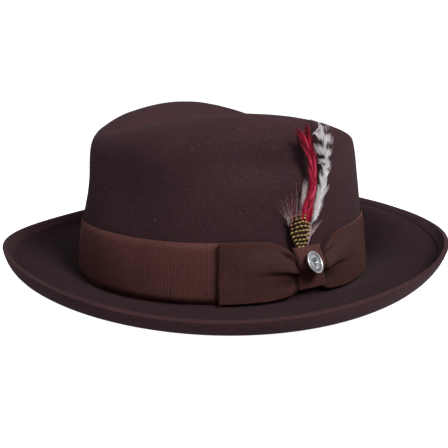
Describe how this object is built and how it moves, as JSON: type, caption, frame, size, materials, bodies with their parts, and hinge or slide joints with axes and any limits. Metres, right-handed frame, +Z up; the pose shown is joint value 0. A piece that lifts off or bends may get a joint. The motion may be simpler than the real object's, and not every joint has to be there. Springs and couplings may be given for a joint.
{
  "type": "fedora hat",
  "caption": "Felt fedora with a teardrop crown, curled brim, ribbon band and side bow carrying a feather spray and a round pin.",
  "frame": {"origin": "on the flat oval underside round the head opening, under the middle of the bounding box", "axes": "+Z up, -Y the front of the hat, +X the wearer's left, where the bow is"},
  "size_m": [0.3056, 0.2999, 0.1111],
  "materials": {
    "felt": "matte brushed wool felt, dark maroon-brown",
    "ribbon": "ribbed grosgrain, low sheen",
    "thread": "twisted thread",
    "leather": "smooth, lightly grained",
    "reed_plastic": "matte",
    "reed_cloth": "woven tape",
    "lining": "satin",
    "card": "matte",
    "wire": "satin",
    "silver": "polished, worn edges",
    "silver_face": "satin",
    "red_feather": "soft, slightly glossy barbs",
    "speckled_feather": "soft barbs, cream speckled with brown",
    "white_feather": "downy",
    "scale_feather": "short bronze feathers, slightly glossy"
  },
  "bodies": {
    "hat": {"felt_body": "felt", "hat_band": "ribbon", "bow_front_loop": "ribbon", "bow_rear_loop": "ribbon", "bow_backing": "ribbon", "bow_knot": "ribbon", "tack_stitches": "thread", "sweatband": "leather", "sweatband_reed": "reed_plastic", "reed_casing": "reed_cloth", "sweatband_stitches": "thread", "sweatband_bow": "ribbon", "lining_side": "lining", "lining_tip": "lining"},
    "feather": {"feather_stem": "wire", "feather_card": "card", "feather_binding": "thread", "feather_scales": "scale_feather", "red_plume": "red_feather", "speckled_plume": "speckled_feather", "front_wisps": "white_feather", "rear_wisps": "white_feather", "white_fluff": "white_feather"},
    "badge": {"badge_rim": "silver", "badge_face": "silver_face", "badge_emblem": "silver", "badge_post": "wire", "badge_clutch": "wire"}
  },
  "joints": [
    {"name": "feather_slide", "type": "slide", "parent": "hat", "child": "feather", "axis": [-0.0987, -0.0031, 0.9951], "range_m": [0, 0.03]},
    {"name": "badge_spin", "type": "hinge", "parent": "hat", "child": "badge", "pos_m": [0.10039, 0.00868, 0.0274], "axis": [0.7784, 0.3796, 0.5], "continuous": true}
  ]
}
